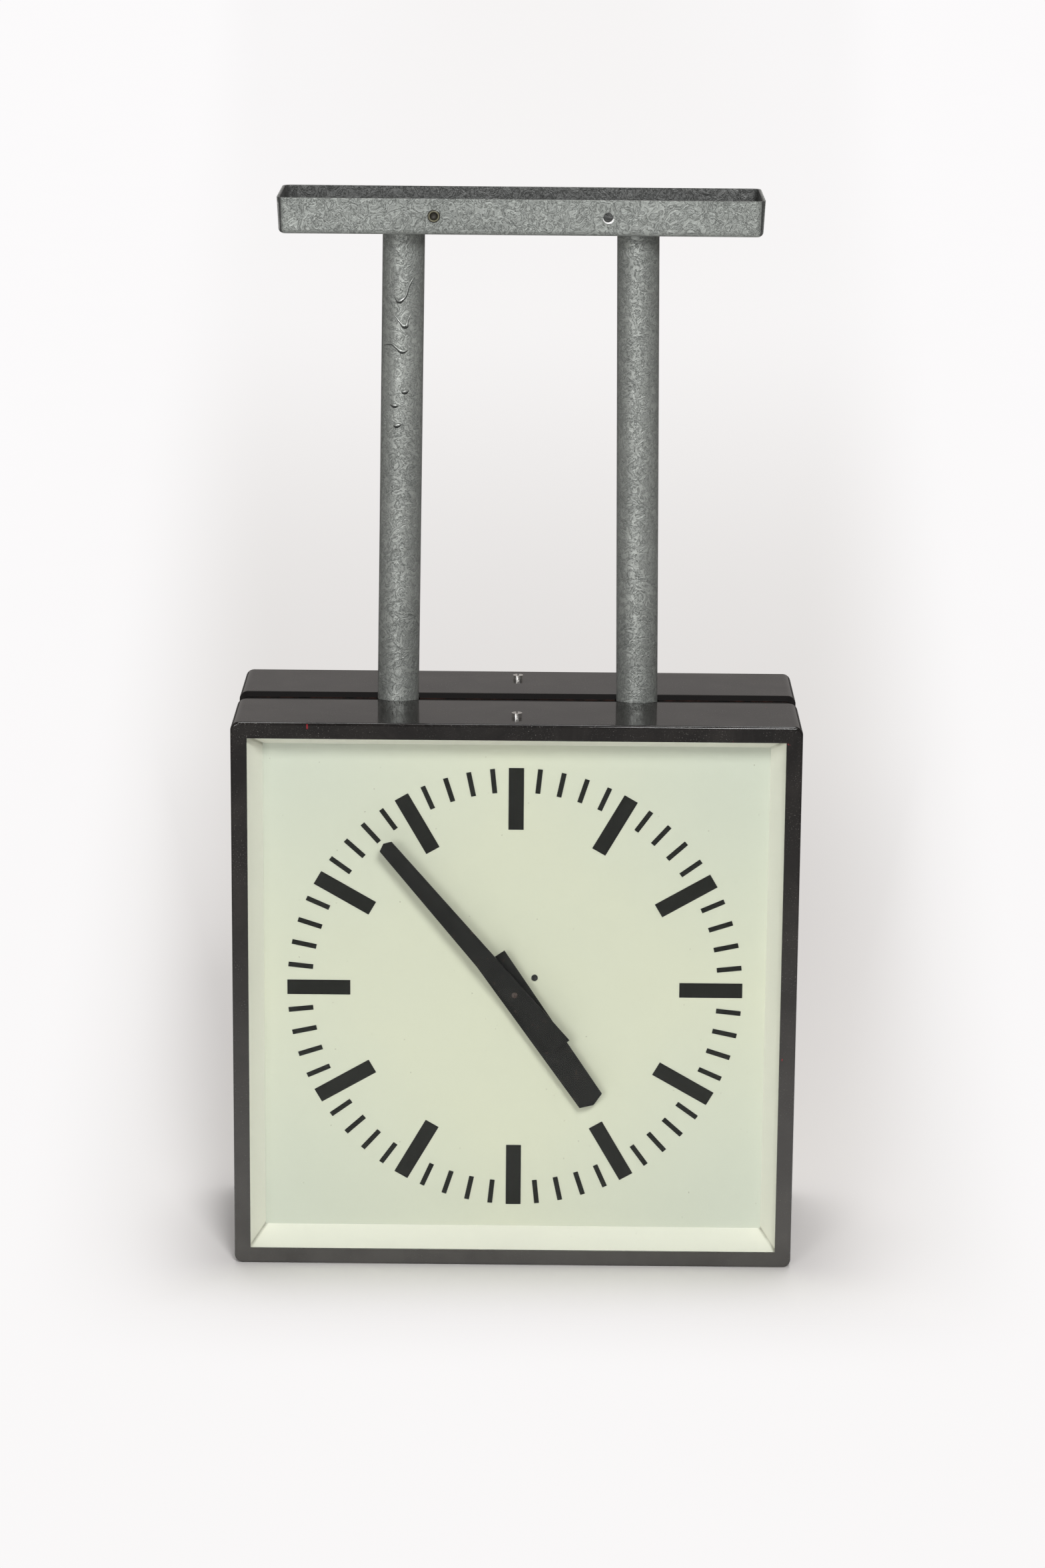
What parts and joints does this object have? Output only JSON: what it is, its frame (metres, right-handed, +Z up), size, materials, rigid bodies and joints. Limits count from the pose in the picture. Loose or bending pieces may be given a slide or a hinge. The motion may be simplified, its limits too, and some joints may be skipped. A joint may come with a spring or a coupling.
{
  "type": "double sided station clock",
  "caption": "Double sided station clock: square glazed clocks back to back on a hollow frame, hung by tubes from a ceiling tray, with hands on geared stepping movements.",
  "frame": {"origin": "on the plane of the undersides, below the middle of the joint between the clocks", "axes": "+Z up towards the ceiling tray, the front clock faces -Y and the rear clock +Y"},
  "size_m": [0.4, 0.17, 0.76],
  "materials": {
    "case_paint": "gloss stove enamel",
    "tray_paint": "hammer finish paint",
    "tube_paint": "hammer finish paint",
    "pane": "clear float glass",
    "dial_paint": "satin pale enamel",
    "reveal_paint": "satin pale enamel",
    "mark_paint": "matt black print",
    "hand_paint": "matt black enamel",
    "frame_steel": "zinc plated sheet",
    "screw_steel": "dark zinc plated",
    "plate_brass": "brushed",
    "wheel_brass": "cut and polished",
    "arbor_steel": "ground",
    "magnet": "sintered",
    "lamination": "punched sheet",
    "bobbin": "moulded",
    "winding": "enamelled copper wire",
    "terminal": "moulded",
    "lead": "insulated wire"
  },
  "bodies": {
    "housing": {"ceiling_tray": "tray_paint", "left_tube": "tube_paint", "right_tube": "tube_paint", "centre_frame": "frame_steel", "cross_bar": "frame_steel", "front_case": "case_paint", "front_case_screw": "screw_steel", "front_glass": "pane", "front_reveal": "reveal_paint", "front_dial": "dial_paint", "front_dial_marks": "mark_paint", "front_movement_plate": "plate_brass", "front_movement_back_plate": "plate_brass", "front_movement_pillars": "plate_brass", "front_movement_screws": "screw_steel", "front_stator": "lamination", "front_coil_bobbin": "bobbin", "front_coil_winding": "winding", "front_terminal_block": "terminal", "front_coil_leads": "lead", "front_partition": "frame_steel", "front_partition_screws": "screw_steel", "front_dial_studs": "frame_steel", "rear_case": "case_paint", "rear_case_screw": "screw_steel", "rear_glass": "pane", "rear_reveal": "reveal_paint", "rear_dial": "dial_paint", "rear_dial_marks": "mark_paint", "rear_movement_plate": "plate_brass", "rear_movement_back_plate": "plate_brass", "rear_movement_pillars": "plate_brass", "rear_movement_screws": "screw_steel", "rear_stator": "lamination", "rear_coil_bobbin": "bobbin", "rear_coil_winding": "winding", "rear_terminal_block": "terminal", "rear_coil_leads": "lead", "rear_partition": "frame_steel", "rear_partition_screws": "screw_steel", "rear_dial_studs": "frame_steel"},
    "front_minute_group": {"front_minute_hand": "hand_paint", "front_minute_arbor": "arbor_steel", "front_centre_wheel": "wheel_brass", "front_cannon_pinion": "wheel_brass"},
    "front_hour_group": {"front_hour_hand": "hand_paint", "front_hour_wheel": "wheel_brass"},
    "front_motion_group": {"front_motion_wheel": "wheel_brass"},
    "front_intermediate_group": {"front_intermediate_wheel": "wheel_brass"},
    "front_rotor_group": {"front_rotor": "magnet"},
    "rear_minute_group": {"rear_minute_hand": "hand_paint", "rear_minute_arbor": "arbor_steel", "rear_centre_wheel": "wheel_brass", "rear_cannon_pinion": "wheel_brass"},
    "rear_hour_group": {"rear_hour_hand": "hand_paint", "rear_hour_wheel": "wheel_brass"},
    "rear_motion_group": {"rear_motion_wheel": "wheel_brass"},
    "rear_intermediate_group": {"rear_intermediate_wheel": "wheel_brass"},
    "rear_rotor_group": {"rear_rotor": "magnet"}
  },
  "joints": [
    {"name": "front_minute_turn", "type": "hinge", "parent": "housing", "child": "front_minute_group", "pos_m": [0, -0.05, 0.2], "axis": [0, 1, 0], "continuous": true},
    {"name": "front_hour_turn", "type": "hinge", "parent": "housing", "child": "front_hour_group", "pos_m": [0, -0.05, 0.2], "axis": [0, 1, 0], "continuous": true},
    {"name": "front_motion_turn", "type": "hinge", "parent": "housing", "child": "front_motion_group", "pos_m": [-0.01371, -0.05, 0.19176], "axis": [0, 1, 0], "continuous": true},
    {"name": "front_intermediate_turn", "type": "hinge", "parent": "housing", "child": "front_intermediate_group", "pos_m": [0, -0.05, 0.218], "axis": [0, 1, 0], "continuous": true},
    {"name": "front_rotor_turn", "type": "hinge", "parent": "housing", "child": "front_rotor_group", "pos_m": [0, -0.05, 0.232], "axis": [0, 1, 0], "continuous": true},
    {"name": "rear_minute_turn", "type": "hinge", "parent": "housing", "child": "rear_minute_group", "pos_m": [0, 0.05, 0.2], "axis": [0, -1, 0], "continuous": true},
    {"name": "rear_hour_turn", "type": "hinge", "parent": "housing", "child": "rear_hour_group", "pos_m": [0, 0.05, 0.2], "axis": [0, -1, 0], "continuous": true},
    {"name": "rear_motion_turn", "type": "hinge", "parent": "housing", "child": "rear_motion_group", "pos_m": [0.01371, 0.05, 0.19176], "axis": [0, -1, 0], "continuous": true},
    {"name": "rear_intermediate_turn", "type": "hinge", "parent": "housing", "child": "rear_intermediate_group", "pos_m": [0, 0.05, 0.218], "axis": [0, -1, 0], "continuous": true},
    {"name": "rear_rotor_turn", "type": "hinge", "parent": "housing", "child": "rear_rotor_group", "pos_m": [0, 0.05, 0.232], "axis": [0, -1, 0], "continuous": true}
  ],
  "couplings": [
    {"joint": "front_hour_turn", "follows": "front_minute_turn", "ratio": 0.083333},
    {"joint": "front_motion_turn", "follows": "front_minute_turn", "ratio": -0.33333},
    {"joint": "front_intermediate_turn", "follows": "front_minute_turn", "ratio": -5},
    {"joint": "front_rotor_turn", "follows": "front_minute_turn", "ratio": 30},
    {"joint": "rear_hour_turn", "follows": "rear_minute_turn", "ratio": 0.083333},
    {"joint": "rear_motion_turn", "follows": "rear_minute_turn", "ratio": -0.33333},
    {"joint": "rear_intermediate_turn", "follows": "rear_minute_turn", "ratio": -5},
    {"joint": "rear_rotor_turn", "follows": "rear_minute_turn", "ratio": 30}
  ]
}
